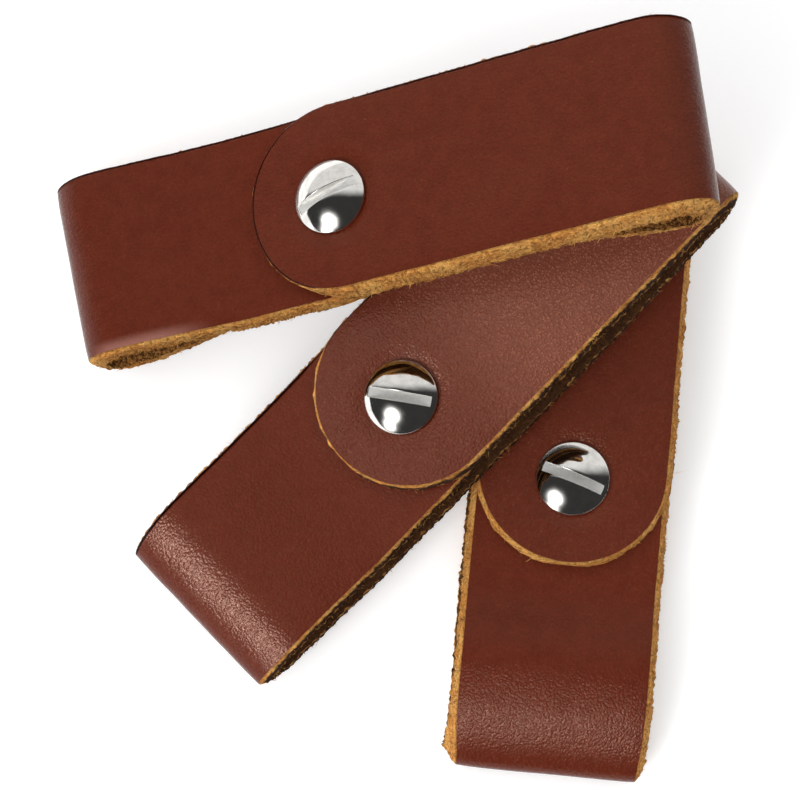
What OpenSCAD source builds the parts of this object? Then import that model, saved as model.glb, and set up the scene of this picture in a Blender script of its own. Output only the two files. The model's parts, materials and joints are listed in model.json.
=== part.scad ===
// Three leather belt keepers lying fanned out on a table.
// Each keeper is one strap folded into a flat loop. Its rounded flap laps over the other end,
// and a two-part binding screw (slotted dome-head screw and threaded post) clamps the lap.
// Millimetres. +Z is up, the table is z = 0, and the origin is under the bottom keeper's screw.

/* [Strap] */
// Width of the leather strap
strap_w = 25.4; // [22:0.2:32]
// Thickness of the leather
strap_t = 2.4; // [2:0.1:3]
// Clear height inside the loop under the screw
inner_gap = 2.2; // [2.1:0.1:4]
// Outside height of the fold on the flap tip's side
near_fold_h = 8.8; // [7.6:0.1:9.4]
// Distance from the screw to the outside of the far fold
far_reach = 49.5; // [40:0.5:70]
// Distance from the screw to the tip of the flap, and to the end of the layer under it
lap_reach = 11.3; // [9:0.1:12.6]

/* [Binding screw] */
// Diameter of the domed screw head
head_d = 9.8; // [8.5:0.1:11]
// Height of the whole head
head_h = 2.3; // [1.8:0.1:3]
// Height of the straight rim under the dome
rim_h = 0.4; // [0.2:0.1:0.8]
// Width of the screwdriver slot
slot_w = 1.3; // [0.9:0.1:1.6]
// Depth of the screwdriver slot from the top of the dome
slot_depth = 1.4; // [0.6:0.1:1.5]
// Diameter of the plain shank that stands for the thread
shank_d = 4.1; // [3.4:0.1:4.2]
// Length of the shank below the head
shank_len = 4; // [3:0.1:4.2]
// Outside diameter of the post's barrel
barrel_d = 5; // [4.8:0.1:6]
// Diameter of the post's flat head
post_head_d = 9; // [7.5:0.1:11]
// Thickness of the post's flat head
post_head_t = 1; // [0.8:0.1:1.05]

/* [Fits] */
// Gap all round between the barrel and the leather
barrel_gap = 0.075; // [0.03:0.005:0.1]
// Gap all round between the shank and the barrel
shank_gap = 0.05; // [0.03:0.005:0.09]
// Slit between the flap and the layer under it
lap_gap = 0.1; // [0.05:0.01:0.2]

/* [Bottom keeper] */
// Distance from the screw to the near fold
bottom_near_reach = 38.9; // [34:0.1:46]
// Direction of the far fold, from +X
bottom_heading = 84.4; // [82:0.1:87]
// Direction of the screwdriver slot, from the strap's length
bottom_slot = 73; // [-90:1:90]

/* [Middle keeper] */
// Distance from the screw to the near fold
middle_near_reach = 40.8; // [34:0.1:46]
// Screw position along X
middle_x = -20.7; // [-21.5:0.1:-20]
// Screw position along Y
middle_y = 10.2; // [9.5:0.1:11]
// Direction of the far fold, from +X
middle_heading = 45.1; // [44:0.1:46]
// Rise of the strap towards its far fold
middle_pitch = 10.9; // [10.9:0.1:11.2]
// Lean of the strap across its width
middle_roll = -6.5; // [-7:0.1:-6.5]
// Direction of the screwdriver slot, from the strap's length
middle_slot = -55; // [-90:1:90]

/* [Top keeper] */
// Distance from the screw to the near fold
top_near_reach = 41.5; // [34:0.1:46]
// Screw position along X
top_x = -28; // [-29:0.1:-27]
// Screw position along Y
top_y = 33.9; // [33:0.1:35]
// Direction of the far fold, from +X
top_heading = 10.2; // [9:0.1:11]
// Rise of the strap towards its far fold
top_pitch = 22.8; // [22.8:0.1:26]
// Lean of the strap across its width
top_roll = -8.6; // [-10:0.1:-8.6]
// Direction of the screwdriver slot, from the strap's length
top_slot = 15; // [-90:1:90]

/* [Hidden] */
$fn = 96;

under_z = strap_t + inner_gap;              // underside of the layer under the flap
flap_z = under_z + strap_t + lap_gap;       // underside of the flap
seat_z = flap_z + strap_t;                  // top of the flap, where the head sits
near_r = near_fold_h / 2;
far_r = seat_z / 2;
end_r = strap_w / 2;                        // radius of both rounded ends
bend_past_lap = 2;                          // sloping part of the under layer starts this far out
bend_x = -lap_reach - bend_past_lap;        // where the under layer levels out
head_clear = 0.3;                           // the barrel stops this short of the screw's head
barrel_len = 2 * strap_t + lap_gap - head_clear;
floor_t = 0.3;                              // metal left at the blind end of the barrel's bore
cut_past = 0.5;                             // how far a cutting tool runs past the surface it cuts
dome_r = (pow(head_d / 2, 2) + pow(head_h - rim_h, 2)) / (2 * (head_h - rim_h));
rest_gap = 0.25;                            // keeps the two upper keepers just off the table

// Height of the point under the screw at which a tilted keeper's near fold meets the table
function rest_height(reach, pitch, roll) =
    let (axis_rise = sin(roll) * cos(pitch))
    rest_gap + near_r * sqrt(1 - pow(axis_rise, 2))
    + strap_w / 2 * abs(axis_rise)
    - near_r * cos(roll) * cos(pitch)
    + (reach - near_r) * sin(pitch);

// Half ring of leather in side view, left or right of its centre
module fold(centre_x, radius, side) {
    translate([centre_x, radius])
        intersection() {
            difference() {
                circle(radius);
                circle(radius - strap_t);
            }
            translate([side < 0 ? -radius : 0, -radius]) square([radius, 2 * radius]);
        }
}

// Side view of the leather without its two lapped ends
module bent_profile(reach) {
    near_x = near_r - reach;
    far_x = far_reach - far_r;
    under_top = under_z + strap_t;
    fold(near_x, near_r, -1);
    fold(far_x, far_r, 1);
    translate([near_x, 0]) square([far_x - near_x, strap_t]);
    polygon([[near_x, near_fold_h], [bend_x, under_top],
             [bend_x, under_z], [near_x, near_fold_h - strap_t]]);
}

// Flat layer with one rounded end at lap_reach, running to length in the direction of side
module lapped_end(side, length) {
    linear_extrude(strap_t) {
        translate([side * (end_r - lap_reach), 0]) circle(end_r);
        translate([side < 0 ? -length : end_r - lap_reach, -end_r])
            square([length + (lap_reach - end_r), strap_w]);
    }
}

// Folded strap in its own frame: the screw axis is Z, the far fold lies along +X
module strap(reach) {
    color([0.38, 0.19, 0.14])
    difference() {
        union() {
            rotate([90, 0, 0])
                linear_extrude(strap_w, center = true) bent_profile(reach);
            translate([0, 0, under_z]) lapped_end(-1, -bend_x);
            translate([0, 0, flap_z]) lapped_end(1, far_reach - far_r);
        }
        translate([0, 0, under_z - cut_past])
            cylinder(d = barrel_d + 2 * barrel_gap, h = 2 * (strap_t + cut_past));
    }
}

// Slotted dome-head screw, seated on the flap
module screw(slot_angle) {
    color([0.8, 0.8, 0.82])
    translate([0, 0, seat_z])
    difference() {
        union() {
            translate([0, 0, -shank_len]) cylinder(d = shank_d, h = shank_len + rim_h);
            cylinder(d = head_d, h = rim_h);
            intersection() {
                translate([0, 0, head_h - dome_r]) sphere(dome_r);
                translate([0, 0, rim_h / 2]) cylinder(d = head_d, h = head_h);
            }
        }
        rotate(slot_angle)
            translate([-head_d, -slot_w / 2, head_h - slot_depth])
                cube([2 * head_d, slot_w, head_h]);
    }
}

// Threaded post: a flat head inside the loop and a barrel up through both layers
module post() {
    color([0.72, 0.72, 0.74])
    translate([0, 0, under_z])
    difference() {
        union() {
            translate([0, 0, -post_head_t]) cylinder(d = post_head_d, h = post_head_t);
            translate([0, 0, -post_head_t / 2]) cylinder(d = barrel_d, h = barrel_len + post_head_t / 2);
        }
        translate([0, 0, floor_t]) cylinder(d = shank_d + 2 * shank_gap, h = barrel_len);
    }
}

// Places of the three keepers
module on_bottom() {
    rotate(bottom_heading) children();
}

module on_middle() {
    translate([middle_x, middle_y, rest_height(middle_near_reach, middle_pitch, middle_roll)])
        rotate([middle_roll, -middle_pitch, middle_heading]) children();
}

module on_top() {
    translate([top_x, top_y, rest_height(top_near_reach, top_pitch, top_roll)])
        rotate([top_roll, -top_pitch, top_heading]) children();
}

module bottom_strap() { on_bottom() strap(bottom_near_reach); }
module bottom_screw() { on_bottom() screw(bottom_slot); }
module bottom_post() { on_bottom() post(); }
module middle_strap() { on_middle() strap(middle_near_reach); }
module middle_screw() { on_middle() screw(middle_slot); }
module middle_post() { on_middle() post(); }
module top_strap() { on_top() strap(top_near_reach); }
module top_screw() { on_top() screw(top_slot); }
module top_post() { on_top() post(); }

bottom_strap();
bottom_screw();
bottom_post();
middle_strap();
middle_screw();
middle_post();
top_strap();
top_screw();
top_post();
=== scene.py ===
"""Looks of three leather belt keepers fanned out on a table.

Each keeper gets a folded strap of leather with cut edges and loose fibres, a slotted dome-head screw
with a thread, and a hollow threaded post. Lengths of leather and screws are in millimetres and are
turned into metres when a mesh is made. Each keeper is built in its own frame: the screw axis is Z,
the back layer's underside is z = 0, and the far fold lies along +X.
"""

import json
import math

import bmesh
import bpy
import numpy as np
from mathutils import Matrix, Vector, kdtree


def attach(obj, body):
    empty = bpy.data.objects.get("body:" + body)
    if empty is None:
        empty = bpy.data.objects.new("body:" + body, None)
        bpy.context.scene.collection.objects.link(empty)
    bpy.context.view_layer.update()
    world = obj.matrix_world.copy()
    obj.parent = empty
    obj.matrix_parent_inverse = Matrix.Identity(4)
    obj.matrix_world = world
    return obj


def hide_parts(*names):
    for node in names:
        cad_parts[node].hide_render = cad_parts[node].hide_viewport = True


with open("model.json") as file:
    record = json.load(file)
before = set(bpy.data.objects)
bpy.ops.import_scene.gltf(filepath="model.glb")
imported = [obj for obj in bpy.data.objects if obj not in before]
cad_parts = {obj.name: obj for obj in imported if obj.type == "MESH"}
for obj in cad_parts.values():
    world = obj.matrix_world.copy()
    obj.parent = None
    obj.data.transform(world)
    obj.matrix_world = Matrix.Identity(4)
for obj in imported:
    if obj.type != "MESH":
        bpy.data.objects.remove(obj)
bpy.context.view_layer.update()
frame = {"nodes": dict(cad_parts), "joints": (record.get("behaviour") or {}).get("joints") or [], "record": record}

MM = 0.001
KEEPERS = ("bottom", "middle", "top")
GRAIN, CUT, FLESH = 0, 1, 2

# Leather and hardware sizes
STRAP_W = 25.4
STRAP_T = 2.4
BACK_Z = 1.2
LAP_Z = 5.8
FLAP_Z = 8.3
SEAT_Z = 9.5
LAP_REACH = 11.3
BEND_X = -13.3
HEAD_R = 4.9
HEAD_H = 2.3
RIM_H = 0.4
SLOT_HALF = 0.65
SLOT_FLOOR = 0.9
SHANK_R = 2.03
SHANK_LEN = 4.0
THREAD_PITCH = 0.794
UNDER_Z = 4.6
POST_HEAD_R = 4.5
POST_HEAD_T = 1.0
BARREL_R = 2.5
BARREL_LEN = 4.6
BORE_R = 2.1
HOLE_R = 2.57
SLOT_ANGLE = {"bottom": 73.0, "middle": -55.0, "top": 15.0}
SLOT_LIP = 0.10
BORE_FLOOR = 0.3

# Detail of the screw and post: radius and columns of the head's height field, corners of the rings and
# of the drilled hole, how far the drill runs past the lap, depth and mean radius of the threads
HEAD_GRID_R = HEAD_R - 0.12
HEAD_COLUMNS = 72
POST_CORNERS = 96
DRILL_CORNERS = 48
DRILL_PAST = 0.6
RING_STEP = 0.1
SHANK_THREAD = 0.22
SHANK_MEAN_R = SHANK_R - 0.13
BORE_THREAD = 0.14
BORE_MEAN_R = BORE_R + 0.08
SHARP_ANGLE = 38

# Detail of the leather mesh: length of a station, stations to each side that a normal is averaged
# over, columns across, and layers of the cut edge
STATION = 0.36
NORMAL_SPREAD = 4
COLUMNS = 46
WALL_LAYERS = 9

# Side view of a fold: handle length that makes a quarter circle, length and middle height of the far
# fold's curve, length of the near fold's lower curve, and rise of the flap towards the far fold
ROUND = 0.5523
FAR_RUN = 4.6
FAR_Z = 4.7
NEAR_RUN = 3.6
FLAP_RISE = 0.25

# Cut edge: rounding of its grain rim and the share of the depth it takes, belly, how far a flare sets
# the grain side back, raggedness, width of sheet it moves, first layer's depth, and the flare under
# which the rim is dyed
RIM_ROUNDING = 0.16
RIM_DEPTH = 0.12
EDGE_BELLY = 0.12
FLARE_INSET = 0.25
EDGE_WANDER = 0.10
EDGE_ROUGH = 0.10
EDGE_WAVES = 0.12
BORDER_EASE = 3.0
FIRST_LAYER = 0.05
DYED_RIM_FLARE = 0.15

# Sides of the sheet: lumps of each side, droop of the grain side at the border, and how much and how
# far round a fold the grain side is drawn in
GRAIN_LUMP = 0.05
FLESH_LUMP = 0.12
RIM_DROOP = 0.12
RIM_DROOP_REACH = 1.4
FOLD_DRAW = 0.02
FOLD_REACH = 3.5

# Loose fibres: shortest length, depth of the root in the edge, steps along the length, and the size and
# shape of the triangle at each step before the tip
FIBRE_SHORTEST = 0.08
FIBRE_ROOT = 0.12
FIBRE_STEPS = (0.0, 0.35, 0.7, 1.0)
FIBRE_TAPER = (1.0, 0.8, 0.5)
FIBRE_CORNERS = ((1, 0, 0), (-0.5, 0.5, 0.7), (-0.5, -0.5, -0.7))

# Leather clamped in the lap: zone measured from each end of the strap, how far it is pressed in on
# the grain side and flesh side, and the dimple under the screw head
LAP_ZONE = 31.0
LAP_EASE = 5.0
GRAIN_PRESSED = 0.03
FLESH_PRESSED = 0.02
DIMPLE_DEPTH = 0.3
DIMPLE_R = 4.2
DIMPLE_EASE = 3.0

# How each strap was bent by hand: length, height and roundness of the near fold's shoulder, height of
# the fold's outermost point, sideways shift of the back layer, slant and pull of the near fold.
# Flares say how far the cut edge's flesh side stands out: along the flap's right side, its left side,
# at the tip, along the right and left of the lower layers, and how much more on the near fold's left
BENDS = {
    "bottom": dict(
        shoulder=13.0, crown=7.9, round=0.42, fold_z=3.7, shift=0.4, slant=0.0, pull=0.0, seed=11,
        flare=0.75, left_flare=0.2, tip_flare=0.3, low_flare=0.8, low_left_flare=0.65, fold_flare=0.95),
    "middle": dict(
        shoulder=7.5, crown=7.7, round=0.5, fold_z=4.3, shift=-0.5, slant=0.0, pull=0.0, seed=12,
        flare=0.35, left_flare=0.0, tip_flare=0.25, low_flare=0.2, low_left_flare=0.0, fold_flare=0.0),
    "top": dict(
        shoulder=5.5, crown=7.6, round=0.6, fold_z=4.3, shift=1.9, slant=0.1, pull=0.6, seed=13,
        flare=1.1, left_flare=-0.2, tip_flare=-0.5, low_flare=0.4, low_left_flare=-0.9, fold_flare=0.0),
}

# Leather of each keeper: clean tan share of the cut edge, where the painted shade on the cut edge
# starts, painted shade on the flesh side, number of loose fibres, shine of the grain side, depth of its
# pebble, pale patch on its flap that is partly wear from rubbing and partly painted sheen, darkening with
# age, how far past the near fold the leather turns duller and by what share, and a pale strip painted
# along the rim beside the near fold as a highlight
LOOKS = {
    "bottom": dict(
        tan=1.0, shade_from=0.42, flesh_shade=0.6, fibres=2600, shine=0.42, pebble=1.7, rub_and_sheen=0.0,
        aged=0.11, dull_from=6.0, dulled=0.5, rim_highlight=0.0),
    "middle": dict(
        tan=0.0, shade_from=0.32, flesh_shade=0.9, fibres=1100, shine=0.42, pebble=2.0, rub_and_sheen=0.95,
        aged=0.38, dull_from=5.5, dulled=0.6, rim_highlight=0.0),
    "top": dict(
        tan=0.75, shade_from=0.42, flesh_shade=0.25, fibres=1500, shine=0.24, pebble=1.5, rub_and_sheen=0.0,
        aged=0.0, dull_from=-5.0, dulled=0.4, rim_highlight=0.55),
}

# Zones of the grain side in mm, each as the two ends of an easing. Distances along the leather are
# from the flap's tip; those named after the near fold are from that fold
# Flap patch of pale pebble tops: partly wear from rubbing, partly a painted sheen
RUB_SHEEN_START = (13.0, 31.0)
RUB_SHEEN_END = (72.0, 58.0)
LOWER_LAYERS = (90.0, 110.0)
FOLD_POLISH_START = (1.5, 4.5)
FOLD_POLISH_EASE = 4.5
# Pale strip beside the near fold, along the rim: a painted highlight where the rolled rim catches the light
FOLD_HIGHLIGHT_START = (2.0, 6.0)
FOLD_HIGHLIGHT_END = (22.0, 12.0)
RIM_HIGHLIGHT_SPAN = (-10.7, -12.4)

# Depth of the bumps in metres
GRAIN_BUMP = 0.000055
CUT_BUMP = 0.0005
FLESH_BUMP = 0.0006
NICKEL_BUMP = 0.00008
TABLE_BUMP = 0.0001

# Colours
GRAIN_DARK = (0.096, 0.0158, 0.0070)
GRAIN_LIGHT = (0.118, 0.0205, 0.0092)
GRAIN_WARM = (0.122, 0.0230, 0.0092)
GRAIN_PORE = (0.054, 0.0088, 0.004)
GRAIN_SHINE = (1.0, 0.66, 0.52)
# pale colour of the flap patch: partly wear from rubbing, partly painted sheen
GRAIN_WEAR_AND_SHEEN = (0.26, 0.094, 0.058)
# painted highlight along the rim by the near fold
GRAIN_RIM_HIGHLIGHT = (0.34, 0.155, 0.125)
SCUFF = (0.30, 0.12, 0.06)
CUT_DARK = (0.42, 0.155, 0.038)
CUT_LIGHT = (0.88, 0.40, 0.088)
CUT_PALE = (0.96, 0.55, 0.16)
CUT_SPECK = (0.16, 0.052, 0.012)
# deep brown laid on cut edges, flesh sides and fibres as painted shade
CUT_PAINTED_SHADE = (0.045, 0.017, 0.008)
FLESH_DARK = (0.055, 0.018, 0.005)
FLESH_LIGHT = (0.52, 0.23, 0.055)
TABLE_DARK = (0.86, 0.86, 0.86)
TABLE_LIGHT = (0.88, 0.88, 0.88)

# Nickel as plated, and where the slot was milled
PLATED = dict(
    low_rough=0.05, high_rough=0.15, metallic=1.0, light=(0.80, 0.78, 0.74), dull=(0.66, 0.64, 0.61))
MILLED = dict(
    low_rough=0.35, high_rough=0.5, metallic=0.7, light=(0.84, 0.83, 0.80), dull=(0.70, 0.69, 0.66))

# Studio: point looked at, camera, table and lamps. Lengths are in metres and angles in degrees
TARGET = Vector((-0.02289, 0.01195, 0.0))
CAMERA_TILT = 81.68
CAMERA_DISTANCE = 0.3995
CAMERA_LENS = 131.9
CAMERA_SENSOR = 36.0
CAMERA_NEAR = 0.01
TABLE_HALF = 3.0
TABLE_GLOW = 0.28
LAMP_DISTANCE = 0.9
WORLD_BACK = 0.9
WORLD_FRONT = 0.04
# azimuth, elevation and half width, then strength
GLOWS = ((233, 14, 8, 9.0), (226, 36, 10, 14.0))


def smooth(t):
    """Eases from 0 to 1 as t goes from 0 to 1."""
    t = np.clip(t, 0.0, 1.0)
    return t * t * (3.0 - 2.0 * t)


def wave_noise(x, y, seed, octaves=4, period=8.0):
    """Smooth random heights of about -1 to 1, from a sum of waves whose directions are random."""
    rng = np.random.default_rng(seed)
    total = np.zeros(np.broadcast(x, y).shape)
    size = 1.0
    for _ in range(octaves):
        for _ in range(5):
            angle = rng.uniform(0, math.pi)
            phase = rng.uniform(0, 2 * math.pi)
            turn = 2 * math.pi / (period * rng.uniform(0.7, 1.4))
            total += size * np.sin((x * math.cos(angle) + y * math.sin(angle)) * turn + phase)
        size *= 0.55
        period *= 0.47
    return total / 5.0


# ---------------------------------------------------------------- frames of the keepers

def keeper_place(name):
    """Origin (mm) and the 3x3 matrix of a keeper's own frame, from the record."""
    record = frame["record"]
    joint = next(j for j in frame["joints"] if j["name"] == name + "_screw_turn")
    mount = next(m for m in record["mounts"] if m["name"] == name + "_passage")
    up = np.array(joint["axis"], float)
    across = np.array(mount["axis"], float)
    along = np.cross(across, up)
    turn = np.column_stack([along, across, up])
    origin = np.array(joint["pos_m"], float) / MM - up * SEAT_Z
    return origin, turn


def strap_reaches(name):
    """X of the near and far folds' outsides in the keeper's own frame."""
    origin, turn = PLACE[name]
    mesh = frame["nodes"][name + "_strap"].data
    co = np.zeros(len(mesh.vertices) * 3)
    mesh.vertices.foreach_get("co", co)
    local = (co.reshape(-1, 3) / MM - origin) @ turn
    return local[:, 0].min(), local[:, 0].max()


PLACE = {name: keeper_place(name) for name in KEEPERS}


def new_mesh(name, points, faces, keeper):
    """Makes an object from points (mm, in the keeper's own frame) and lists of corner numbers."""
    origin, turn = PLACE[keeper]
    world = (np.asarray(points, float) @ turn.T + origin) * MM
    mesh = bpy.data.meshes.new(name)
    mesh.from_pydata(world.tolist(), [], faces)
    mesh.validate()
    mesh.polygons.foreach_set("use_smooth", [True] * len(mesh.polygons))
    thing = bpy.data.objects.new(name, mesh)
    bpy.context.scene.collection.objects.link(thing)
    return thing


def quads_between(first, second, closed=True):
    """Faces joining two rows of corner numbers of the same length."""
    count = len(first)
    steps = count if closed else count - 1
    out = []
    for i in range(steps):
        j = (i + 1) % count
        out.append((first[i], first[j], second[j], second[i]))
    return out


def full_turn(corners):
    """Angles of the corners of a ring."""
    return [2 * math.pi * k / corners for k in range(corners)]


def add_ring(points, angles, radius_at, z):
    """Adds a ring of points round the screw's axis, and returns their numbers."""
    first = len(points)
    for angle in angles:
        radius = radius_at(angle)
        points.append((radius * math.cos(angle), radius * math.sin(angle), z))
    return list(range(first, len(points)))


# ---------------------------------------------------------------- leather straps

def bezier(p0, p1, p2, p3, count=60):
    """Points of a cubic curve, without its last point."""
    t = np.linspace(0, 1, count, endpoint=False)[:, None]
    p0, p1, p2, p3 = (np.array(p, float) for p in (p0, p1, p2, p3))
    return (1 - t) ** 3 * p0 + 3 * (1 - t) ** 2 * t * p1 + 3 * (1 - t) * t * t * p2 + t ** 3 * p3


def side_view(near_x, far_x, bend):
    """Stretches of the middle of the leather in side view, from the flap's tip to the end under it:
    flap, upper and lower half of the far fold, back, lower and upper half of the near fold, slope
    down to the lap, layer under the flap, and its end point."""
    far = far_x - STRAP_T / 2
    near = near_x + STRAP_T / 2
    far_run = far - FAR_RUN
    near_run = near + NEAR_RUN
    shoulder, fold_z, crown = bend["shoulder"], bend["fold_z"], bend["crown"]
    return [
        bezier((-LAP_REACH, FLAP_Z), (0, FLAP_Z), (far - 2 * FAR_RUN, FLAP_Z + FLAP_RISE),
               (far_run, FLAP_Z), 90),
        bezier((far_run, FLAP_Z), (far - FAR_RUN * (1 - ROUND), FLAP_Z),
               (far, FAR_Z + (FLAP_Z - FAR_Z) * ROUND), (far, FAR_Z)),
        bezier((far, FAR_Z), (far, FAR_Z - (FAR_Z - BACK_Z) * ROUND),
               (far - FAR_RUN * (1 - ROUND), BACK_Z), (far_run, BACK_Z)),
        bezier((far_run, BACK_Z), (10, BACK_Z), (-10, BACK_Z), (near_run, BACK_Z), 90),
        bezier((near_run, BACK_Z), (near + NEAR_RUN * (1 - ROUND), BACK_Z),
               (near, fold_z - (fold_z - BACK_Z) * ROUND), (near, fold_z)),
        bezier((near, fold_z), (near, fold_z + (crown - fold_z) * bend["round"]),
               (near + shoulder * (1.1 - bend["round"]), crown), (near + shoulder, crown)),
        bezier((near + shoulder, crown), (near + shoulder + 5, crown),
               (BEND_X - 6, LAP_Z), (BEND_X, LAP_Z), 60),
        bezier((BEND_X, LAP_Z), (-8, LAP_Z), (0, LAP_Z), (LAP_REACH, LAP_Z), 60),
        np.array([[LAP_REACH, LAP_Z]]),
    ]


def smooth_steps(values):
    """Steps of a row of values, averaged over their neighbours."""
    kernel = np.hanning(2 * NORMAL_SPREAD + 1)
    kernel /= kernel.sum()
    return np.convolve(np.pad(np.gradient(values), NORMAL_SPREAD, mode="edge"), kernel, "valid")


def centre_path(near_x, far_x, bend):
    """Stations along the middle of the leather, from the flap's tip to the end under the lap.

    Returns distance along the leather, points in side view (x, z), outward normals, and the distance
    at which the flap, the far fold's upper half and so on end."""
    parts = side_view(near_x, far_x, bend)
    path = np.vstack(parts)
    length = np.concatenate([[0], np.cumsum(np.hypot(*np.diff(path, axis=0).T))])
    count = int(length[-1] / STATION) + 1
    s = np.linspace(0, length[-1], count)
    x = np.interp(s, length, path[:, 0])
    z = np.interp(s, length, path[:, 1])
    dx, dz = smooth_steps(x), smooth_steps(z)
    size = np.hypot(dx, dz)
    normal = np.column_stack([-dz / size, dx / size])
    ends = np.cumsum([len(part) for part in parts])
    marks = dict(flap_end=length[ends[0]], far=length[ends[1]], back_start=length[ends[2]],
                 back_end=length[ends[3]], near=length[ends[4]])
    return s, np.column_stack([x, z]), normal, marks


def sheet_grid(length):
    """Sheet coordinates (along, across) of a strap whose two ends are rounded."""
    radius = STRAP_W / 2
    rows = np.linspace(0, length, int(length / STATION) + 1)
    phi = np.linspace(-math.pi / 2, math.pi / 2, COLUMNS + 1)
    sag = radius * (1 - np.cos(phi))
    at_tip = 1 - smooth(rows / (2.2 * radius))
    at_end = 1 - smooth((length - rows) / (2.2 * radius))
    along = rows[:, None] + at_tip[:, None] * sag - at_end[:, None] * sag
    round_end = np.maximum(1 - smooth(rows / radius), 1 - smooth((length - rows) / radius))[:, None]
    across = radius * (round_end * np.sin(phi) + (1 - round_end) * phi / (math.pi / 2))
    return along, across


def edge_profile(depth, flare):
    """How far the cut edge stands out at a depth of 0 (grain side) to 1 (flesh side)."""
    rounding = -RIM_ROUNDING * np.clip(1 - depth / RIM_DEPTH, 0, 1) ** 2
    belly = EDGE_BELLY * np.sin(math.pi * depth)
    return rounding + belly + flare * depth ** 1.3 - FLARE_INSET * flare


def bend_sheet(s, across, out, path, bend):
    """Places sheet points: s along, across, and out from the middle of the leather."""
    length, centre, normal, marks = path
    x = np.interp(s, length, centre[:, 0])
    z = np.interp(s, length, centre[:, 1])
    nx = np.interp(s, length, normal[:, 0])
    nz = np.interp(s, length, normal[:, 1])
    size = np.hypot(nx, nz)
    # the back layer lies a little to one side of the flap
    low = smooth((s - marks["back_start"]) / 18.0) * smooth((marks["back_end"] - s) / 20.0)
    # the grain side is drawn in where the leather turns round a fold
    far_turn = np.exp(-((s - marks["far"]) / FOLD_REACH) ** 2)
    near_turn = np.exp(-((s - marks["near"]) / FOLD_REACH) ** 2)
    drawn_in = FOLD_DRAW * (far_turn + near_turn) * (1 + out / STRAP_T)
    y = across * (1 - drawn_in) + bend["shift"] * low
    px = x + out * nx / size
    near_side = smooth((-px - 8.0) / 22.0)
    px = px + near_side * (bend["pull"] - bend["slant"] * y)
    return np.stack([px, y, z + out * nz / size], axis=-1)


def side_levels(along, across, path, seed):
    """Heights of the grain side and the flesh side over the middle of the leather."""
    stations, centre, _, marks = path
    length = stations[-1]
    half = STRAP_T / 2
    from_screw = np.hypot(np.interp(along, stations, centre[:, 0]), across)
    on_flap = along < marks["flap_end"]
    dimple = -DIMPLE_DEPTH * (1 - smooth((from_screw - DIMPLE_R) / DIMPLE_EASE)) * on_flap
    lumps = GRAIN_LUMP * wave_noise(along, across, seed + 1, 2, 14)
    droop = -RIM_DROOP * np.exp(-(STRAP_W / 2 - np.abs(across)) / RIM_DROOP_REACH)
    at_end = smooth((along - length + LAP_ZONE) / LAP_EASE)
    on_lap = np.maximum(smooth((LAP_ZONE - along) / LAP_EASE), at_end)
    nap = FLESH_LUMP * wave_noise(along, across, seed + 2, 3, 5)
    top = half + dimple + (lumps + droop) * (1 - at_end) - GRAIN_PRESSED * at_end
    under = -half + nap * (1 - on_lap) + FLESH_PRESSED * on_lap
    return top, under


def border_numbers(rows, columns):
    """Row and column of every border point of the grid: tip, one side, end, other side."""
    loop = [(0, j) for j in range(columns)]
    loop += [(i, columns - 1) for i in range(1, rows)]
    loop += [(rows - 1, j) for j in range(columns - 2, -1, -1)]
    loop += [(i, 0) for i in range(rows - 2, 0, -1)]
    return np.array([i for i, j in loop]), np.array([j for i, j in loop])


def outward(edge_s, edge_y):
    """Directions along and across that point out of the sheet, at every border point."""
    ds = np.roll(edge_s, -1) - np.roll(edge_s, 1)
    dy = np.roll(edge_y, -1) - np.roll(edge_y, 1)
    size = np.hypot(ds, dy)
    out_s, out_y = -dy / size, ds / size
    if (edge_y * out_y).mean() < 0:
        out_s, out_y = -out_s, -out_y
    return out_s, out_y


def border_flare(edge_s, edge_y, marks, bend):
    """How far the flesh side stands out past the grain side, at every border point."""
    at_tip = 1 - smooth((edge_s - 4.0) / 9.0)
    below = smooth((edge_s - marks["far"]) / 12.0)
    on_left = edge_y > 0
    flare = np.where(on_left, bend["left_flare"], bend["flare"])
    flare = flare + (bend["tip_flare"] - flare) * at_tip
    low_flare = np.where(on_left, bend["low_left_flare"], bend["low_flare"])
    flare = flare + (low_flare - flare) * below
    on_fold = np.exp(-((edge_s - marks["near"]) / 6.0) ** 2)
    return flare + bend["fold_flare"] * on_fold * on_left


def border_stands(depths, around, flare, seed):
    """How far the ragged cut edge stands out, for every depth a row over all border points."""
    rag = np.random.default_rng(seed + 5)
    slow = wave_noise(around, around * 0, seed + 3, 3, 9)
    stands = []
    for depth in depths:
        stand = edge_profile(depth, flare) + EDGE_WANDER * slow * (0.3 + depth)
        rough = rag.normal(0, 1, len(around)) * EDGE_ROUGH * smooth(depth / 0.25)
        waves = wave_noise(around, around * 0 + depth * STRAP_T, seed + 6, 3, 1.6)
        stands.append(stand + rough + EDGE_WAVES * waves * smooth(depth / 0.2))
    return stands


def spread_border(along, across, border, move_s, move_y):
    """Moves the border points of a side and eases the move into the sheet."""
    move = np.zeros((*along.shape, 2))
    move[border] = np.stack([move_s, move_y], axis=-1)
    left = 1 - smooth((across - across[:, :1]) / BORDER_EASE)
    right = 1 - smooth((across[:, -1:] - across) / BORDER_EASE)
    first = 1 - smooth((along - along[:1]) / BORDER_EASE)
    last = 1 - smooth((along[-1:] - along) / BORDER_EASE)
    sides = left[..., None] * move[:, :1] + right[..., None] * move[:, -1:]
    ends = first[..., None] * move[:1] + last[..., None] * move[-1:]
    at_ends = np.maximum(first, last)[..., None]
    field = ends + (1 - at_ends) * sides
    return (along + field[..., 0]).ravel(), (across + field[..., 1]).ravel()


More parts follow.
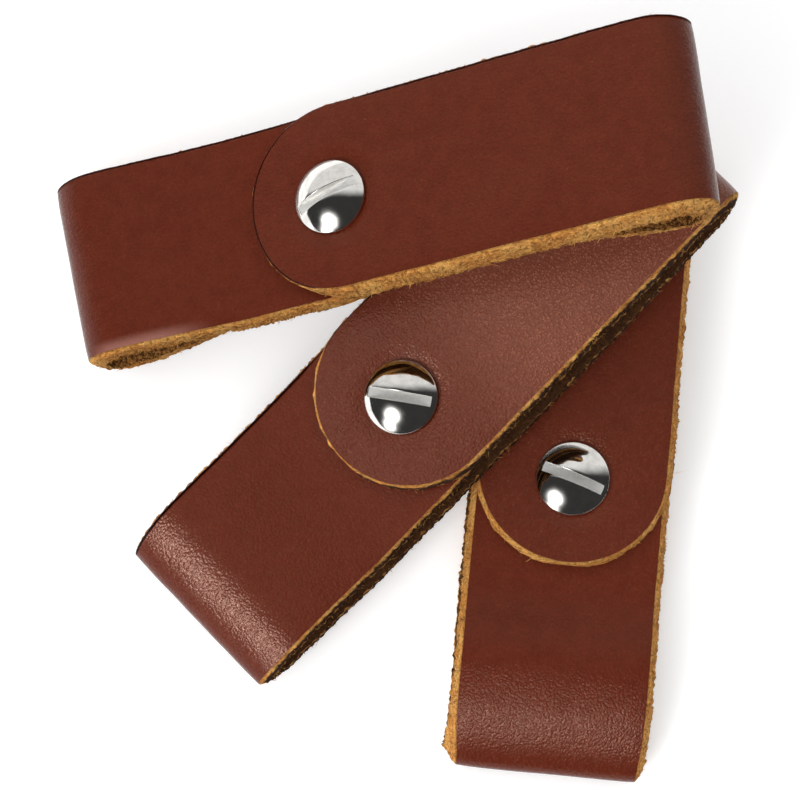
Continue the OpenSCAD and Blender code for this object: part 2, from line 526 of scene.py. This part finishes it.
def strap_faces(rows, columns, border, flare):
    """Faces of the closed strap mesh and the finish of each one."""
    number = np.arange(rows * columns).reshape(rows, columns)
    a, b, c, d = number[:-1, :-1], number[1:, :-1], number[1:, 1:], number[:-1, 1:]
    grain_faces = np.stack([a, b, c, d], axis=-1).reshape(-1, 4)
    corners = len(flare)
    flesh_shift = rows * columns + WALL_LAYERS * corners
    flesh_faces = grain_faces[:, ::-1] + flesh_shift
    rings = [number[border]]
    for layer in range(WALL_LAYERS):
        rings.append(rows * columns + layer * corners + np.arange(corners))
    rings.append(number[border] + flesh_shift)
    wall_faces = np.vstack([
        np.stack([np.roll(upper, -1), upper, lower, np.roll(lower, -1)], axis=-1)
        for upper, lower in zip(rings[:-1], rings[1:])])
    # where the edge hardly flares, the dye of the grain side runs over the rim
    dyed_rim = np.where(flare < DYED_RIM_FLARE, GRAIN, CUT)
    finish = np.concatenate([
        np.full(len(grain_faces), GRAIN), dyed_rim, np.full(len(wall_faces) - corners, CUT),
        np.full(len(flesh_faces), FLESH)])
    return np.vstack([grain_faces, wall_faces, flesh_faces]), finish


def strap_points(name):
    """Points, faces, finishes and sheet coordinates of one strap, and what its fibres stand on."""
    bend = BENDS[name]
    seed = bend["seed"]
    path = centre_path(*strap_reaches(name), bend)
    along, across = sheet_grid(path[0][-1])
    rows, columns = along.shape
    # slow wander of the outline, so the strap isn't a ruled line
    across = across * (1 + 0.006 * wave_noise(along, across * 0, seed, 2, 60))
    top, under = side_levels(along, across, path, seed)

    border = border_numbers(rows, columns)
    edge_s, edge_y = along[border], across[border]
    out_s, out_y = outward(edge_s, edge_y)
    around = np.concatenate([[0], np.cumsum(np.hypot(np.diff(edge_s), np.diff(edge_y)))])
    flare = border_flare(edge_s, edge_y, path[3], bend)
    depths = np.linspace(0, 1, WALL_LAYERS + 2)
    depths[1] = FIRST_LAYER
    stands = border_stands(depths, around, flare, seed)

    grain_s, grain_y = spread_border(along, across, border, out_s * stands[0], out_y * stands[0])
    points = [bend_sheet(grain_s, grain_y, top.ravel(), path, bend)]
    sheet = [np.column_stack([grain_s, grain_y, grain_s * 0])]
    for depth, stand in zip(depths[1:-1], stands[1:-1]):
        level = top[border] * (1 - depth) + under[border] * depth
        points.append(bend_sheet(edge_s + out_s * stand, edge_y + out_y * stand, level, path, bend))
        sheet.append(np.column_stack([around, level, around * 0 + depth]))
    flesh_s, flesh_y = spread_border(along, across, border, out_s * stands[-1], out_y * stands[-1])
    points.append(bend_sheet(flesh_s, flesh_y, under.ravel(), path, bend))
    sheet.append(np.column_stack([flesh_s, flesh_y, flesh_s * 0 + 1]))

    faces, finish = strap_faces(rows, columns, border, flare)
    rim = dict(s=edge_s, y=edge_y, out_s=out_s, out_y=out_y, flare=flare, path=path)
    return np.vstack(points), faces, finish, np.vstack(sheet), rim


def drill(strap, name):
    """Cuts the hole for the post's barrel through both lapped layers."""
    points = []
    angles = full_turn(DRILL_CORNERS)
    low = add_ring(points, angles, lambda a: HOLE_R, UNDER_Z - DRILL_PAST)
    high = add_ring(points, angles, lambda a: HOLE_R, SEAT_Z + DRILL_PAST)
    faces = quads_between(low, high) + [tuple(reversed(low)), tuple(high)]
    tool = new_mesh("drill_tool", points, faces, name)
    cut = strap.modifiers.new("hole", "BOOLEAN")
    cut.operation = "DIFFERENCE"
    cut.object = tool
    cut.solver = "EXACT"
    bpy.context.view_layer.update()
    graph = bpy.context.evaluated_depsgraph_get()
    done = bpy.data.meshes.new_from_object(strap.evaluated_get(graph))
    strap.modifiers.clear()
    old = strap.data
    strap.data = done
    bpy.data.meshes.remove(old)
    bpy.data.objects.remove(tool)


def keep_sheet_coordinates(mesh, tree, coords):
    """Gives every point of the drilled mesh the sheet coordinates of the nearest point before."""
    values = np.zeros((len(mesh.vertices), 3), np.float32)
    for k, vertex in enumerate(mesh.vertices):
        values[k] = coords[tree.find(vertex.co)[1]]
    sheet = mesh.attributes.new("sheet", "FLOAT_VECTOR", "POINT")
    sheet.data.foreach_set("vector", values.ravel())


def build_strap(name):
    """One strap of leather as a closed mesh with three finishes: grain, cut edge and flesh."""
    points, faces, finish, coords, rim = strap_points(name)
    strap = new_mesh(name + "_leather", points, faces.tolist(), name)
    look = LOOKS[name]
    near_fold = rim["path"][3]["near"]
    strap.data.materials.append(grain_material(name, look, near_fold))
    strap.data.materials.append(cut_material(name, look))
    strap.data.materials.append(flesh_material(name, look))
    strap.data.polygons.foreach_set("material_index", finish.astype(np.int32))
    tree = kdtree.KDTree(len(points))
    for k, vertex in enumerate(strap.data.vertices):
        tree.insert(vertex.co, k)
    tree.balance()
    drill(strap, name)
    sharpen_rims(strap)
    keep_sheet_coordinates(strap.data, tree, coords)
    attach(strap, name + "_keeper")
    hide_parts(name + "_strap")
    return rim


def add_spindle(points, faces, centre, thick):
    """Adds a closed fibre along four centre points: three tapering triangles and a tip."""
    base = len(points)
    for taper, middle in zip(FIBRE_TAPER, centre):
        for corner in FIBRE_CORNERS:
            points.append(tuple(middle + thick * taper * np.array(corner)))
    points.append(tuple(centre[-1]))
    for ring in (base, base + 3):
        for i in range(3):
            j = (i + 1) % 3
            faces.append((ring + i, ring + j, ring + 3 + j, ring + 3 + i))
    for i in range(3):
        faces.append((base + 6 + i, base + 6 + (i + 1) % 3, base + 9))
    faces.append((base + 2, base + 1, base))


def build_fibres(name, rim):
    """Loose leather fibres along the cut edges: short tapered curls, each a closed spindle."""
    bend = BENDS[name]
    rng = np.random.default_rng(bend["seed"] + 20)
    count = LOOKS[name]["fibres"]
    share = np.clip(rim["flare"] + 0.3, 0.05, 1.0)
    pick = rng.choice(len(rim["s"]), count, p=share / share.sum())
    points, faces = [], []
    depth = rng.uniform(0.15, 1.0, count)
    length = rng.gamma(2.0, 0.12, count) + FIBRE_SHORTEST
    for k, at in enumerate(pick):
        stand = float(edge_profile(depth[k], rim["flare"][at])) - FIBRE_ROOT
        level = STRAP_T * (0.5 - depth[k])
        lean_s, lean_n = rng.normal(0, 0.7), rng.normal(-0.2, 0.5)
        curl = rng.normal(0, 0.5)
        thick = rng.uniform(0.03, 0.075)
        t = np.array(FIBRE_STEPS)
        reach = stand + length[k] * t * (1 - 0.25 * abs(lean_n) * t)
        slide = length[k] * (lean_s * t + curl * t * t)
        s = rim["s"][at] + rim["out_s"][at] * reach + rim["out_y"][at] * slide
        y = rim["y"][at] + rim["out_y"][at] * reach - rim["out_s"][at] * slide
        s = np.clip(s, 0.0, rim["path"][0][-1])
        centre = bend_sheet(s, y, level + length[k] * lean_n * t, rim["path"], bend)
        add_spindle(points, faces, centre, thick)
    fuzz = new_mesh(name + "_fibres", points, faces, name)
    fuzz.data.materials.append(fibre_material(name, LOOKS[name]))
    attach(fuzz, name + "_keeper")


# ---------------------------------------------------------------- screws and posts

def thread_radius(angle, z, mean, depth):
    """Radius of a screw thread at an angle and height."""
    turn = (z / THREAD_PITCH - angle / (2 * math.pi)) % 1.0
    ridge = abs(turn * 2 - 1)
    return float(mean + depth * (smooth(np.array(ridge * 1.3 - 0.15)) - 0.5))


def head_height(x, y):
    """Height of the slotted dome over its seat."""
    dome_r = (HEAD_R ** 2 + (HEAD_H - RIM_H) ** 2) / (2 * (HEAD_H - RIM_H))
    dome = HEAD_H - dome_r + math.sqrt(max(dome_r ** 2 - x * x - y * y, 0.0))
    if abs(y) < SLOT_HALF:
        return min(dome, SLOT_FLOOR)
    past = (abs(y) - SLOT_HALF) / SLOT_LIP
    if past < 1 and dome > SLOT_FLOOR:
        return dome - SLOT_LIP * 0.6 * (1 - math.sqrt(max(1 - (1 - past) ** 2, 0.0)))
    return dome


def head_rows():
    """Rows of the head's height field: even steps, and close ones along the slot's edges."""
    near_slot = [SLOT_HALF - 0.001, SLOT_HALF, SLOT_HALF + SLOT_LIP * 0.2, SLOT_HALF + SLOT_LIP * 0.5,
                 SLOT_HALF + SLOT_LIP]
    even = [HEAD_GRID_R * math.sin(math.radians(a)) for a in np.arange(-87, 88, 4.35)] + [0.0, 0.3, -0.3]
    even = [row for row in even if not SLOT_HALF - 0.15 < abs(row) < SLOT_HALF + SLOT_LIP * 1.6]
    return sorted(set(even + near_slot + [-row for row in near_slot]))


def build_head(points, faces, turn):
    """Adds the slotted dome, turned with its slot, and returns the numbers round its border."""
    def add(x, y):
        """Adds a point of the dome and returns its number."""
        points.append((x * math.cos(turn) - y * math.sin(turn),
                       x * math.sin(turn) + y * math.cos(turn), SEAT_Z + head_height(x, y)))
        return len(points) - 1

    grid = []
    first = add(0, -HEAD_GRID_R)
    for y in head_rows():
        half = math.sqrt(HEAD_GRID_R ** 2 - y * y)
        steps = [math.sin(math.pi * (k / HEAD_COLUMNS - 0.5)) for k in range(HEAD_COLUMNS + 1)]
        grid.append([add(half * step, y) for step in steps])
    last = add(0, HEAD_GRID_R)
    for low, high in zip(grid[:-1], grid[1:]):
        faces += quads_between(low, high, closed=False)
    for k in range(HEAD_COLUMNS):
        faces.append((first, grid[0][k + 1], grid[0][k]))
        faces.append((last, grid[-1][k], grid[-1][k + 1]))
    return [first] + [row[-1] for row in grid] + [last] + [row[0] for row in reversed(grid)]


def build_shank(points, faces, above):
    """Adds the head's rim and seat and the threaded shank, below a border of corners."""
    angles = [math.atan2(points[k][1], points[k][0]) for k in above]
    rim_top = head_height(HEAD_GRID_R, 0)
    profile = [(HEAD_R - 0.03, rim_top - 0.07), (HEAD_R, rim_top - 0.16), (HEAD_R, 0.12),
               (HEAD_R - 0.04, 0.03), (HEAD_R - 0.14, 0.0), (SHANK_R + 0.25, 0.0)]
    for radius, z in profile:
        below = add_ring(points, angles, lambda a, r=radius: r, SEAT_Z + z)
        faces += quads_between(below, above)
        above = below
    for z in np.arange(-RING_STEP, -SHANK_LEN, -RING_STEP):
        depth = SHANK_THREAD * min(1.0, -z / 0.6, (SHANK_LEN + z) / 0.3)
        below = add_ring(points, angles, lambda a, h=z, d=depth: thread_radius(a, h, SHANK_MEAN_R, d),
                         SEAT_Z + z)
        faces += quads_between(below, above)
        above = below
    tip = add_ring(points, angles, lambda a: SHANK_R - 0.45, SEAT_Z - SHANK_LEN)
    faces += quads_between(tip, above)
    faces.append(tuple(reversed(tip)))


def mark_slot(screw, points, faces, turn):
    """Gives the faces inside the slot the milled finish."""
    for polygon, corners in zip(screw.data.polygons, faces):
        middle = np.mean([points[k] for k in corners], axis=0)
        off_slot = abs(middle[1] * math.cos(turn) - middle[0] * math.sin(turn))
        if off_slot < SLOT_HALF and middle[2] > SEAT_Z + SLOT_FLOOR - 0.01:
            polygon.material_index = 1


def build_screw(name):
    """Slotted dome-head screw: a height field for the dome over rings for rim, seat and thread."""
    turn = math.radians(SLOT_ANGLE[name])
    points, faces = [], []
    border = build_head(points, faces, turn)
    build_shank(points, faces, border)
    screw = new_mesh(name + "_screw_metal", points, faces, name)
    screw.data.materials.append(NICKEL)
    screw.data.materials.append(MILLED_NICKEL)
    mark_slot(screw, points, faces, turn)
    fix_normals(screw)
    sharpen(screw)
    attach(screw, name + "_screw")
    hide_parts(name + "_screw")


def build_post(name):
    """Post: a flat head with a turned rim, and a barrel whose blind bore is threaded."""
    under, top = -POST_HEAD_T, BARREL_LEN
    outline = [(0.9, under - 0.02), (2.2, under), (3.9, under + 0.05), (4.3, under + 0.18),
               (POST_HEAD_R, under + 0.42), (POST_HEAD_R, -0.12), (POST_HEAD_R - 0.12, 0.0),
               (BARREL_R + 0.15, 0.0), (BARREL_R, 0.12), (BARREL_R, top - 0.12),
               (BARREL_R - 0.12, top), (BORE_R + 0.12, top)]
    angles = full_turn(POST_CORNERS)
    points = [(0, 0, UNDER_Z + under - 0.02)]
    rings = []
    for radius, z in outline:
        rings.append(add_ring(points, angles, lambda a, r=radius: r, UNDER_Z + z))
    for z in np.arange(top - RING_STEP, 0.45, -RING_STEP):
        depth = BORE_THREAD * min(1.0, (top - z) / 0.5, (z - BORE_FLOOR) / 0.4)
        rings.append(add_ring(points, angles, lambda a, h=z, d=depth: thread_radius(a, h, BORE_MEAN_R, d),
                              UNDER_Z + z))
    rings.append(add_ring(points, angles, lambda a: BORE_R, UNDER_Z + BORE_FLOOR + 0.04))
    floor = len(points)
    points.append((0, 0, UNDER_Z + BORE_FLOOR))

    faces = []
    for low, high in zip(rings[:-1], rings[1:]):
        faces += quads_between(low, high)
    for k in range(POST_CORNERS):
        after = (k + 1) % POST_CORNERS
        faces.append((0, rings[0][after], rings[0][k]))
        faces.append((floor, rings[-1][k], rings[-1][after]))
    post = new_mesh(name + "_post_metal", points, faces, name)
    post.data.materials.append(NICKEL)
    fix_normals(post)
    sharpen(post)
    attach(post, name + "_post")
    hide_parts(name + "_post")


def sharpen_rims(thing):
    """Shades the edges between two finishes as sharp, and the rest as smooth."""
    work = bmesh.new()
    work.from_mesh(thing.data)
    for edge in work.edges:
        finishes = {face.material_index for face in edge.link_faces}
        edge.smooth = len(finishes) == 1
    work.to_mesh(thing.data)
    work.free()


def fix_normals(thing):
    """Turns every face outward."""
    work = bmesh.new()
    work.from_mesh(thing.data)
    bmesh.ops.recalc_face_normals(work, faces=work.faces)
    work.to_mesh(thing.data)
    work.free()


def sharpen(thing):
    """Shades steep edges as sharp, and the rest as smooth."""
    thing.data.set_sharp_from_angle(angle=math.radians(SHARP_ANGLE))


# ---------------------------------------------------------------- materials

class Nodes:
    """Short way to write a material's or world's node tree."""

    def __init__(self, tree):
        self.tree = tree
        tree.nodes.clear()

    def add(self, kind, settings=None, **inputs):
        """Adds a node; inputs may be values or other nodes' outputs."""
        node = self.tree.nodes.new(kind)
        for key, value in (settings or {}).items():
            setattr(node, key, value)
        for key, value in inputs.items():
            name = key.replace("_", " ")
            socket = node.inputs[int(key[1:])] if key[0] == "i" and key[1:].isdigit() else node.inputs[name]
            if isinstance(value, bpy.types.NodeSocket):
                self.tree.links.new(value, socket)
            else:
                socket.default_value = value
        return node

    def noise(self, vector, scale, detail=3.0, rough=0.55):
        """Value of a noise texture, about 0 to 1."""
        return self.add("ShaderNodeTexNoise", Vector=vector, Scale=scale, Detail=detail,
                        Roughness=rough).outputs[0]

    def math(self, operation, a, b=0.0, c=0.0):
        """One arithmetic step."""
        return self.add("ShaderNodeMath", {"operation": operation}, i0=a, i1=b, i2=c).outputs[0]

    def span(self, value, low, high, to_low=0.0, to_high=1.0):
        """Maps low..high onto another span, eased and clamped."""
        node = self.add("ShaderNodeMapRange", {"interpolation_type": "SMOOTHSTEP"}, Value=value)
        for key, number in zip(("From Min", "From Max", "To Min", "To Max"), (low, high, to_low, to_high)):
            node.inputs[key].default_value = number
        return node.outputs[0]

    def mix(self, factor, a, b):
        """Mixes two colours."""
        node = self.add("ShaderNodeMix", {"data_type": "RGBA"})
        for socket, value in ((node.inputs[0], factor), (node.inputs[6], a), (node.inputs[7], b)):
            if isinstance(value, bpy.types.NodeSocket):
                self.tree.links.new(value, socket)
            else:
                socket.default_value = value if isinstance(value, float) else (*value, 1.0)
        return node.outputs[2]

    def bump(self, height, strength, distance):
        """Bump from a height, with its distance in metres."""
        return self.add("ShaderNodeBump", Height=height, Strength=strength, Distance=distance).outputs[0]

    def sheet(self):
        """Coordinates of the strap laid flat, in mm: along, across and depth."""
        return self.add("ShaderNodeAttribute", {"attribute_name": "sheet"}).outputs["Vector"]

    def place(self):
        """Coordinates of the object in mm."""
        metres = self.add("ShaderNodeTexCoord").outputs["Object"]
        per_metre = 1.0 / MM
        return self.add("ShaderNodeMapping", Vector=metres, Scale=(per_metre,) * 3).outputs[0]


def new_material(name):
    """An empty material and its node helper."""
    material = bpy.data.materials.new(name)
    material.use_nodes = True
    return material, Nodes(material.node_tree)


def finish_shader(nodes, **inputs):
    """Adds the surface shader and the output."""
    keys = {key.replace("_", " "): value for key, value in inputs.items()}
    shader = nodes.tree.nodes.new("ShaderNodeBsdfPrincipled")
    for key, value in keys.items():
        if isinstance(value, bpy.types.NodeSocket):
            nodes.tree.links.new(value, shader.inputs[key])
        else:
            shader.inputs[key].default_value = value
    out = nodes.tree.nodes.new("ShaderNodeOutputMaterial")
    nodes.tree.links.new(shader.outputs[0], out.inputs[0])


def zone(nodes, value, start, end):
    """Share from 0 to 1 that rises over the span start and falls again over the span end."""
    return nodes.math("MULTIPLY", nodes.span(value, *start), nodes.span(value, *end))


def dyed_grain(nodes, sheet, pores, pebble, look):
    """Colour of the dyed grain side: slow mottling, tiny scuffs, dark pores and pebble grooves."""
    mottle = nodes.noise(sheet, 0.45, 4.0, 0.6)
    cloud = nodes.noise(sheet, 0.09, 2.0, 0.5)
    speck = nodes.noise(sheet, 2.9, 1.0, 0.5)
    fine = nodes.noise(sheet, 2.3, 5.0, 0.75)
    base = nodes.mix(nodes.span(mottle, 0.3, 0.7), GRAIN_DARK, GRAIN_LIGHT)
    base = nodes.mix(nodes.span(cloud, 0.35, 0.7, 0.0, 0.35), base, GRAIN_WARM)
    base = nodes.mix(nodes.span(pores, 0.58, 0.75, 0.0, 0.45), base, GRAIN_PORE)
    base = nodes.mix(nodes.span(speck, 0.765, 0.80, 0.0, 0.6), base, SCUFF)
    base = nodes.mix(nodes.span(fine, 0.38, 0.62, 0.0, 0.38), base, GRAIN_PORE)
    base = nodes.mix(nodes.span(pebble, 0.20, 0.40, 0.0, 0.20 * look["pebble"]), base, GRAIN_PORE)
    return nodes.mix(look["aged"], base, GRAIN_PORE)


def wear_and_sheen_grain(nodes, base, pebble, along, across, past_fold, look):
    """Colour with a pale patch of pebble tops on the flap, partly wear from rubbing and partly painted
    sheen, and a pale strip along the rim by the near fold, a painted highlight.
    """
    # pebble tops on the flap turn pale: partly wear from rubbing, partly a painted sheen
    tops = nodes.math("MULTIPLY", nodes.span(pebble, 0.40, 0.05, 0.25, 1.0),
                      zone(nodes, along, RUB_SHEEN_START, RUB_SHEEN_END))
    base = nodes.mix(nodes.math("MULTIPLY", tops, look["rub_and_sheen"]), base, GRAIN_WEAR_AND_SHEEN)
    # a pale strip along the rim beside the near fold: a painted highlight
    by_rim = nodes.span(across, *RIM_HIGHLIGHT_SPAN, 0.0, look["rim_highlight"])
    by_fold = zone(nodes, past_fold, FOLD_HIGHLIGHT_START, FOLD_HIGHLIGHT_END)
    return nodes.mix(nodes.math("MULTIPLY", by_rim, by_fold), base, GRAIN_RIM_HIGHLIGHT)


def grain_shine(nodes, along, past_fold, look):
    """Shine of the grain side: less on the lower layers, but kept where the near fold is polished."""
    dull_from = look["dull_from"]
    polished = zone(nodes, past_fold, FOLD_POLISH_START, (dull_from + FOLD_POLISH_EASE, dull_from))
    dull = nodes.math("MULTIPLY", nodes.span(along, *LOWER_LAYERS), nodes.math("SUBTRACT", 1.0, polished))
    return nodes.math("MULTIPLY_ADD", dull, -look["shine"] * look["dulled"], look["shine"])


def grain_material(name, look, near_fold):
    """Smooth dyed grain side with a fine pebble and faint creases.

    near_fold is the distance along the leather from the flap's tip to the near fold."""
    material, nodes = new_material(name + "_leather_grain")
    sheet = nodes.sheet()
    along, across, _ = nodes.add("ShaderNodeSeparateXYZ", Vector=sheet).outputs
    past_fold = nodes.math("SUBTRACT", along, near_fold)
    pebble = nodes.add("ShaderNodeTexVoronoi", {"feature": "SMOOTH_F1"}, Vector=sheet, Scale=3.4,
                       Smoothness=0.6).outputs["Distance"]
    pores = nodes.noise(sheet, 5.5, 2.0, 0.6)
    stretched = nodes.add("ShaderNodeMapping", Vector=sheet, Scale=(0.35, 1.0, 1.0)).outputs[0]
    crease = nodes.noise(stretched, 0.9, 3.0, 0.6)
    base = dyed_grain(nodes, sheet, pores, pebble, look)
    base = wear_and_sheen_grain(nodes, base, pebble, along, across, past_fold, look)
    height = nodes.math("MULTIPLY_ADD", pebble, -0.55 * look["pebble"], nodes.math("MULTIPLY", pores, 0.5))
    height = nodes.math("MULTIPLY_ADD", crease, 0.3, height)
    normal = nodes.bump(height, 1.0, GRAIN_BUMP)
    rough = nodes.span(nodes.noise(sheet, 1.1, 3.0), 0.3, 0.7, 0.22, 0.29)
    shine = grain_shine(nodes, along, past_fold, look)
    finish_shader(nodes, Base_Color=base, Roughness=rough, Normal=normal, Specular_IOR_Level=shine,
                  Specular_Tint=(*GRAIN_SHINE, 1.0))
    return material


def cut_material(name, look):
    """Raw cut edge: orange tan fibres, dark specks and pits. Below a clean rim of tan it is
    painted dark brown as painted shade, fully where tan is 0 and not at all where tan is 1."""
    material, nodes = new_material(name + "_cut_edge")
    sheet = nodes.sheet()
    place = nodes.place()
    long = nodes.add("ShaderNodeMapping", Vector=sheet, Scale=(0.7, 3.0, 1.0)).outputs[0]
    fibre = nodes.noise(long, 1.6, 4.0, 0.65)
    fleck = nodes.noise(place, 2.2, 5.0, 0.7)
    patch = nodes.noise(place, 0.35, 2.0, 0.5)
    base = nodes.mix(nodes.span(fibre, 0.3, 0.7), CUT_DARK, CUT_LIGHT)
    base = nodes.mix(nodes.span(patch, 0.4, 0.7, 0.0, 0.6), base, CUT_PALE)
    base = nodes.mix(nodes.span(fleck, 0.48, 0.62, 0.0, 0.7), base, CUT_SPECK)
    depth = nodes.add("ShaderNodeSeparateXYZ", Vector=sheet).outputs[2]
    ragged = nodes.math("MULTIPLY_ADD", fibre, 0.3, depth)
    # below the clean rim the edge turns dark brown: painted shade for the shadow on the cut edge
    start = look["shade_from"]
    painted_shade = nodes.math("MULTIPLY", nodes.span(ragged, start, start + 0.2, 0.0, 1.0 - look["tan"]),
                       nodes.span(ragged, 1.10, 1.00))
    base = nodes.mix(painted_shade, base, CUT_PAINTED_SHADE)
    height = nodes.math("MULTIPLY_ADD", fleck, -1.0, fibre)
    normal = nodes.bump(height, 1.0, CUT_BUMP)
    finish_shader(nodes, Base_Color=base, Roughness=0.9, Normal=normal, Specular_IOR_Level=0.15)
    return material


def flesh_material(name, look):
    """Suede-like flesh side: brown, fibrous and matt."""
    material, nodes = new_material(name + "_leather_flesh")
    place = nodes.place()
    nap = nodes.noise(place, 2.2, 5.0, 0.7)
    patch = nodes.noise(place, 0.3, 3.0, 0.6)
    base = nodes.mix(nodes.span(nap, 0.42, 0.60), FLESH_DARK, FLESH_LIGHT)
    base = nodes.mix(nodes.span(patch, 0.4, 0.7, 0.0, 0.3), base, CUT_DARK)
    # the flesh side is darkened by the keeper's share: painted shade for the shadow inside the loop
    base = nodes.mix(look["flesh_shade"], base, CUT_PAINTED_SHADE)
    normal = nodes.bump(nap, 1.0, FLESH_BUMP)
    finish_shader(nodes, Base_Color=base, Roughness=0.95, Normal=normal, Specular_IOR_Level=0.1)
    return material


def fibre_material(name, look):
    """Loose fibres, a little paler than the cut edge they stand on."""
    material, nodes = new_material(name + "_leather_fibre")
    place = nodes.place()
    base = nodes.mix(nodes.span(nodes.noise(place, 1.5, 2.0), 0.35, 0.65), CUT_DARK, CUT_PALE)
    # where the edge is not clean tan, the fibres darken too: painted shade
    base = nodes.mix(0.55 * (1.0 - look["tan"]), base, CUT_PAINTED_SHADE)
    finish_shader(nodes, Base_Color=base, Roughness=0.9, Specular_IOR_Level=0.15)
    return material


def nickel_material(name, look):
    """Nickel plate with hairline scratches, slight ripples and smudges."""
    material, nodes = new_material(name)
    place = nodes.place()
    hair = nodes.add("ShaderNodeMapping", Vector=place, Scale=(0.5, 9.0, 2.0),
                     Rotation=(0.0, 0.0, 0.7)).outputs[0]
    scratch = nodes.span(nodes.noise(hair, 1.5, 3.0, 0.7), 0.62, 0.70)
    ripple = nodes.noise(place, 0.55, 1.0, 0.4)
    smudge = nodes.noise(place, 0.9, 4.0, 0.6)
    rough = nodes.span(smudge, 0.4, 0.75, look["low_rough"], look["high_rough"])
    height = nodes.math("MULTIPLY_ADD", scratch, -0.02, ripple)
    normal = nodes.bump(height, 0.35, NICKEL_BUMP)
    base = nodes.mix(nodes.span(smudge, 0.35, 0.75), look["light"], look["dull"])
    finish_shader(nodes, Base_Color=base, Metallic=look["metallic"], Roughness=rough, Normal=normal)
    return material


def floor_material():
    """White studio table with a faint paper grain and a slight glow."""
    material, nodes = new_material("studio_table")
    place = nodes.add("ShaderNodeTexCoord").outputs["Object"]
    grain = nodes.noise(place, 900.0, 3.0)
    base = nodes.mix(nodes.span(grain, 0.3, 0.7), TABLE_DARK, TABLE_LIGHT)
    normal = nodes.bump(grain, 0.15, TABLE_BUMP)
    finish_shader(nodes, Base_Color=base, Roughness=0.8, Normal=normal, Specular_IOR_Level=0.1,
                  Emission_Color=(1.0, 1.0, 1.0, 1.0), Emission_Strength=TABLE_GLOW)
    return material


# ---------------------------------------------------------------- studio

def build_floor():
    """A wide flat table top."""
    corners = [(x * TABLE_HALF, y * TABLE_HALF, 0) for x, y in ((-1, -1), (1, -1), (1, 1), (-1, 1))]
    mesh = bpy.data.meshes.new("studio_floor")
    mesh.from_pydata(corners, [], [(0, 1, 2, 3)])
    floor = bpy.data.objects.new("studio_floor", mesh)
    bpy.context.scene.collection.objects.link(floor)
    floor.data.materials.append(floor_material())


def direction_at(azimuth, elevation):
    """Direction at an azimuth from +X and an elevation, in degrees."""
    turn, rise = math.radians(azimuth), math.radians(elevation)
    return Vector((math.cos(turn) * math.cos(rise), math.sin(turn) * math.cos(rise), math.sin(rise)))


def build_world():
    """A bright white wall and ceiling behind the table, a dark room on the camera's side, and the
    glows of soft lamps at the front left."""
    world = bpy.data.worlds.new("studio_world")
    bpy.context.scene.world = world
    world.use_nodes = True
    nodes = Nodes(world.node_tree)
    direction = nodes.add("ShaderNodeNewGeometry").outputs["Incoming"]
    parts = nodes.add("ShaderNodeSeparateXYZ", Vector=direction).outputs
    # Incoming points from the sky to the viewer, so a bright back has a negative y
    back = nodes.math("MULTIPLY", parts[1], -1.0)
    strength = nodes.span(back, 0.15, 0.5, WORLD_FRONT, WORLD_BACK)
    for azimuth, elevation, half_width, glow_strength in GLOWS:
        spread = 1.0 - math.cos(math.radians(half_width))
        towards = direction_at(azimuth, elevation)
        facing = nodes.add("ShaderNodeVectorMath", {"operation": "DOT_PRODUCT"}, i0=direction,
                           i1=tuple(-towards)).outputs["Value"]
        glow = nodes.math("DIVIDE", nodes.math("SUBTRACT", facing, 1.0), spread)
        glow = nodes.math("EXPONENT", glow)
        strength = nodes.math("MULTIPLY_ADD", glow, glow_strength, strength)
    seen = nodes.add("ShaderNodeLightPath").outputs["Is Camera Ray"]
    strength = nodes.math("MAXIMUM", strength, seen)
    light = nodes.add("ShaderNodeBackground", Color=(1.0, 1.0, 1.0, 1.0), Strength=strength)
    out = nodes.tree.nodes.new("ShaderNodeOutputWorld")
    nodes.tree.links.new(light.outputs[0], out.inputs[0])


def add_softbox(name, direction, width, height, power, shine_on=None):
    """A rectangular studio light that looks at the middle of the fan. It gives no shine, or it
    lights only the grain of one keeper and gives its leather a highlight."""
    lamp = bpy.data.lights.new(name, "AREA")
    lamp.shape = "RECTANGLE"
    lamp.size = width
    lamp.size_y = height
    lamp.energy = power
    thing = bpy.data.objects.new(name, lamp)
    bpy.context.scene.collection.objects.link(thing)
    thing.location = TARGET + direction * LAMP_DISTANCE
    thing.rotation_euler = direction.to_track_quat("Z", "Y").to_euler()
    thing.visible_glossy = shine_on is not None
    if shine_on:
        lit = bpy.data.collections.new(name + "_lights")
        lit.objects.link(bpy.data.objects[shine_on + "_leather"])
        thing.light_linking.receiver_collection = lit


def build_camera():
    """Camera nearly overhead, at the object's viewing angle."""
    lens = bpy.data.cameras.new("camera")
    lens.lens = CAMERA_LENS
    lens.sensor_width = CAMERA_SENSOR
    lens.clip_start = CAMERA_NEAR
    thing = bpy.data.objects.new("camera", lens)
    bpy.context.scene.collection.objects.link(thing)
    out = direction_at(-90, CAMERA_TILT)
    thing.location = TARGET + out * CAMERA_DISTANCE
    thing.rotation_euler = out.to_track_quat("Z", "Y").to_euler()
    bpy.context.scene.camera = thing


NICKEL = nickel_material("nickel_plate", PLATED)
MILLED_NICKEL = nickel_material("milled_nickel", MILLED)

for keeper in KEEPERS:
    build_fibres(keeper, build_strap(keeper))
    build_screw(keeper)
    build_post(keeper)

build_floor()
build_world()
add_softbox("key_light", direction_at(224, 45), 0.35, 0.6, 0.8)
add_softbox("overhead_light", direction_at(200, 80), 1.5, 1.5, 9.3)
add_softbox("middle_fold_shine", direction_at(204, 34), 0.12, 0.08, 3.6, "middle")
add_softbox("middle_flap_shine", direction_at(169, 65), 0.3, 0.2, 0.8, "middle")
add_softbox("bottom_fold_shine", direction_at(263, 60), 0.12, 0.05, 2.1, "bottom")
build_camera()
bpy.context.scene.view_settings.view_transform = "Standard"
